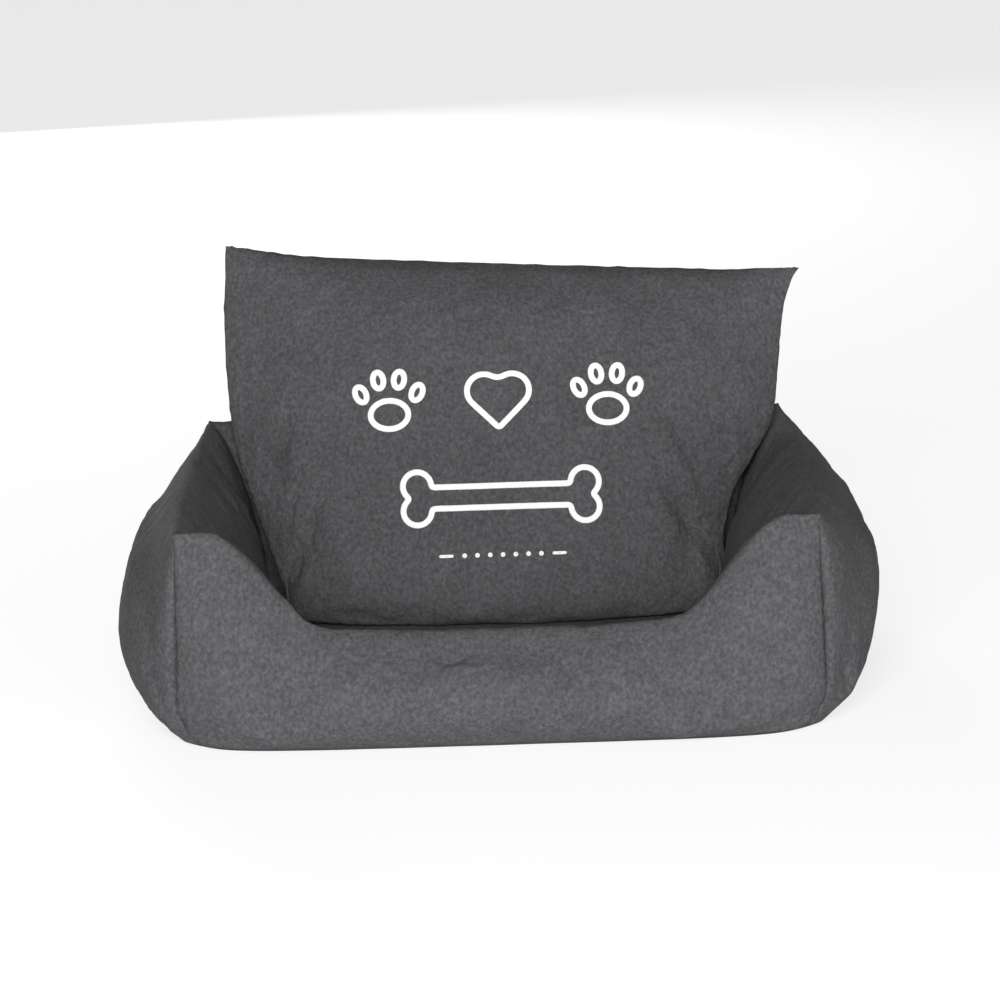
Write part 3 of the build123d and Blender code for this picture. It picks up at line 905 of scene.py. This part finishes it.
def make_cushion():
    front, back = build_cushion()
    front_skin, back_skin = close_cushion(cushion_relief(front, 11), cushion_relief(back, 17))
    back_skin = press_zip_pocket("cushion", back_skin, POCKET)
    panel = shell("cushion_front_fabric", front_skin, CUSHION_FABRIC)
    add_piece(panel, "cushion", "grey_felt", ["cushion_front_panel"])
    panel = shell("cushion_back_fabric", back_skin[::-1], CUSHION_FABRIC)
    add_piece(panel, "cushion", "grey_felt", ["cushion_back_panel"])
    sunk_back = press_zip_pocket("cushion", back, PILLOW_POCKET, sink=3 * MM)
    bag = closed_bag("pillow_ticking", front, sunk_back, 4 * MM, 3)
    add_piece(bag, "cushion", "white_ticking", ["inner_pillow_ticking"])
    core = closed_bag("pillow_fibre", front, sunk_back, 7 * MM, 4)
    add_piece(core, "cushion", "white_fibre", ["inner_pillow_fibre"])
    make_print(front_skin)


# ---- print ---------------------------------------------------------------------------------------
STROKE = 6.5 * MM
MOTIF_X, PAW_SPREAD = -4 * MM, 120 * MM                # the motif's middle, and paws beside it
TOP_ROW, BONE_ROW, RULE_ROW = 234 * MM, 126 * MM, 62 * MM
TOES = [(-31, 10, 24), (-11.5, 25, 8), (11.5, 25, -8), (31, 10, -24)]   # x, y in mm, tilt in degrees
STAND_OFF = 200 * MM                                   # rays start this far in front of the cushion


def arc(cx, cy, r, start, end):
    a = np.radians(np.linspace(start, end, 40))
    return [(cx + r * math.cos(t), cy + r * math.sin(t)) for t in a]


def even_path(points, rounds=7):
    """Closed path at even steps with its corners eased."""
    step = 1.4 * MM
    p = np.array(points + points[:1])
    gone = np.concatenate([[0], np.cumsum(np.linalg.norm(np.diff(p, axis=0), axis=1))])
    want = np.linspace(0, gone[-1], max(24, int(gone[-1] / step)), endpoint=False)
    return ease_loop(np.stack([np.interp(want, gone, p[:, k]) for k in range(2)], axis=1), rounds)


def oval_path(cx, cy, wide, high, tilt=0.0):
    wide, high = wide - STROKE / 2, high - STROKE / 2
    c, s = math.cos(math.radians(tilt)), math.sin(math.radians(tilt))
    around = [(wide * math.cos(a), high * math.sin(a)) for a in np.linspace(0, 2 * math.pi, 60)[:-1]]
    return even_path([(cx + x * c - y * s, cy + x * s + y * c) for x, y in around], rounds=0)


def paw_paths(cx, cy):
    paths = [oval_path(cx, cy - 14 * MM, 24 * MM, 19 * MM)]
    paths += [oval_path(cx + x * MM, cy + y * MM, 9 * MM, 12.5 * MM, tilt) for x, y, tilt in TOES]
    return paths


def heart_path(cx, cy):
    lobe = 22 * MM
    reach = lobe / math.sqrt(2)
    r = lobe - STROKE / 2
    low = -2 * reach + STROKE / 2 * math.sqrt(2)
    points = [(0, low)] + arc(reach, reach, r, -45, 128) + arc(-reach, reach, r, 52, 225)
    return even_path([(cx + x, cy - 6 * MM + y) for x, y in points])


def bone_path(cx, cy):
    half, knob, waist = 92 * MM, 19 * MM, 15 * MM
    r, shift = knob - STROKE / 2, 0.72 * knob
    y = waist - STROKE / 2
    turn = math.degrees(math.asin((shift - y) / r))
    notch = math.degrees(math.asin(shift / r))
    right = arc(half, shift, r, 180 + turn, -notch) + arc(half, -shift, r, notch, -180 - turn)
    left = [(-px, -py) for px, py in right]
    return even_path([(cx + px, cy + py) for px, py in right + left])


def ribbon(path, wide):
    """Five rows across a closed path, as (points, rows, 2)."""
    side = loop_sides(path)
    return np.stack([path + side * wide * k for k in (-0.5, -0.25, 0, 0.25, 0.5)], axis=1)


def disc(cx, cy, half_wide, half_high):
    """A small filled capsule or dot as closed rings about its middle."""
    a = np.linspace(0, 2 * math.pi, 32, endpoint=False)
    long = half_wide - half_high
    ring = np.stack([half_high * np.cos(a) + long * np.sign(np.cos(a)), half_high * np.sin(a)], axis=1)
    return np.stack([np.array([cx, cy]) + ring * k for k in (1.0, 0.55, 0.1)], axis=1)


def make_print(front):
    """Lays the motif on the cushion's front: each stroke is a thin closed skin that follows the fabric."""
    cols, rows, _ = front.shape
    tree = BVHTree.FromPolygons([tuple(v) for v in front.reshape(-1, 3)], grid_faces(cols, rows))
    paths = [heart_path(MOTIF_X, TOP_ROW)]
    for side in (-1, 1):
        paths += paw_paths(MOTIF_X + side * PAW_SPREAD, TOP_ROW)
    bands = [ribbon(path, STROKE) for path in paths + [bone_path(MOTIF_X, BONE_ROW)]]
    bands += [disc(MOTIF_X + side * 62 * MM, RULE_ROW, 8 * MM, 1.7 * MM) for side in (-1, 1)]
    bands += [disc(MOTIF_X + k * 14 * MM, RULE_ROW, 2.6 * MM, 2.6 * MM) for k in range(-3, 4)]
    verts, faces = [], []
    for band in bands:
        count, across, _ = band.shape
        start, size = len(verts), count * across
        for lift in (0.45 * MM, -0.25 * MM):
            for u, v in band.reshape(-1, 2):
                hit = tree.ray_cast(Vector(cushion_place(u, v, STAND_OFF)), Vector(-CUSHION_FACE))[0]
                verts.append(np.array(hit) + CUSHION_FACE * lift)
        top = turned(grid_faces(count, across, wrap=True), start)
        faces += top + turned(top, size)
        for j in (0, across - 1):
            edge = rim([start + i * across + j for i in range(count)], size)
            faces += edge if j else turned(edge)
    add_piece(new_object("cushion_motif", verts, faces), "cushion", "white_print", ["cushion_print"])


# ---- zip coils -----------------------------------------------------------------------------------
def make_coils(prefix, body):
    """Two rows of nylon coil: each a flattened helix along the zip whose loops reach towards the other."""
    origin, x_dir, y_dir, out = zip_plane(prefix)
    half = zip_half_length(prefix)
    pitch, wire, per_turn, sides = 1.6 * MM, 0.33 * MM, 12, 6
    turns = int(2 * half / pitch)
    a = np.linspace(0, turns * 2 * math.pi, turns * per_turn)
    along = np.linspace(-half + wire, half - wire, len(a))
    lift = 1.7 * MM + 0.62 * MM * np.sin(a)
    verts, faces = [], []
    for side in (-1, 1):
        across = side * (1.9 * MM + 0.95 * MM * np.cos(a))
        path = (origin + np.multiply.outer(along, x_dir) + np.multiply.outer(across, y_dir)
                + np.multiply.outer(lift, out))
        ahead = np.gradient(path, axis=0)
        ahead /= np.linalg.norm(ahead, axis=1, keepdims=True)
        first = np.cross(ahead, x_dir)
        first /= np.linalg.norm(first, axis=1, keepdims=True)
        second = np.cross(first, ahead)
        start, last = len(verts), len(path) - 1
        for p, f, s in zip(path, first, second):
            for angle in np.linspace(0, 2 * math.pi, sides, endpoint=False):
                verts.append(p + wire * (f * math.cos(angle) + s * math.sin(angle)))
        faces += grid_faces(len(path), sides, tube=True, start=start)
        faces.append(tuple(start + k for k in range(sides)))
        faces.append(tuple(start + last * sides + k for k in reversed(range(sides))))
    coils = new_object(prefix + "_coil_loops", verts, faces)
    add_piece(coils, body, "zip_coil", [prefix + "_zip_coils"])


def paint_frame():
    """Gives the CAD's own nodes the materials that the record names."""
    slots = {s["node"]: s["material_slot"] for s in frame["record"]["subparts"]}
    for name, obj in frame["nodes"].items():
        paint(obj, MATERIALS[slots[name]])


# ---- stage ---------------------------------------------------------------------------------------
def make_stage():
    far = 40
    corners = [(-far, -far, 0), (far, -far, 0), (far, far, 0), (-far, far, 0)]
    floor = new_object("studio_floor", corners, [(0, 1, 2, 3)])
    mat = bpy.data.materials.new("pale_floor")
    mat.use_nodes = True
    shader = mat.node_tree.nodes["Principled BSDF"]
    shader.inputs["Base Color"].default_value = level(0.30)
    shader.inputs["Roughness"].default_value = 0.9
    shader.inputs["Emission Color"].default_value = level(1)
    shader.inputs["Emission Strength"].default_value = 0.76
    paint(floor, mat)
    world = bpy.data.worlds.new("studio")
    world.use_nodes = True
    background = world.node_tree.nodes["Background"]
    background.inputs["Color"].default_value = level(1)
    background.inputs["Strength"].default_value = 0.13
    bpy.context.scene.world = world


def make_light(name, place, size, power):
    """A round soft light that is aimed at the walls of the bed."""
    light = bpy.data.lights.new(name, "AREA")
    light.shape, light.size, light.energy = "DISK", size, power
    obj = bpy.data.objects.new(name, light)
    obj.location = place
    obj.rotation_euler = (Vector((0, 0, 0.15)) - Vector(place)).to_track_quat("-Z", "Y").to_euler()
    bpy.context.scene.collection.objects.link(obj)


def make_camera():
    """The photo's view: from the front, looking down a little, and turned slightly about its axis."""
    data = bpy.data.cameras.new("camera")
    data.sensor_width, data.lens = 36.0, 143.3
    cam = bpy.data.objects.new("camera", data)
    pitch, roll = math.radians(12.7), math.radians(1.8)
    turn = Matrix.Rotation(math.pi / 2 - pitch, 4, "X") @ Matrix.Rotation(-roll, 4, "Z")
    cam.matrix_world = Matrix.Translation((0.0045, -4.142, 1.12)) @ turn
    bpy.context.scene.collection.objects.link(cam)
    bpy.context.scene.camera = cam


def main():
    make_camera()
    make_stage()
    make_light("key", (-0.4, -4.4, 1.7), 2.0, 215)
    make_light("fill", (1.6, -4.0, 1.2), 1.6, 44)
    make_light("back", (-1.2, 4.4, 1.2), 2.4, 90)
    paint_frame()
    make_walls()
    make_floor()
    path = base_path()
    make_sheet(path)
    make_binding(path)
    make_cushion()
    make_coils("bed", "bed")
    make_coils("cushion", "cushion")
    bpy.context.scene.view_settings.view_transform = "Standard"
    bpy.context.view_layer.update()


main()
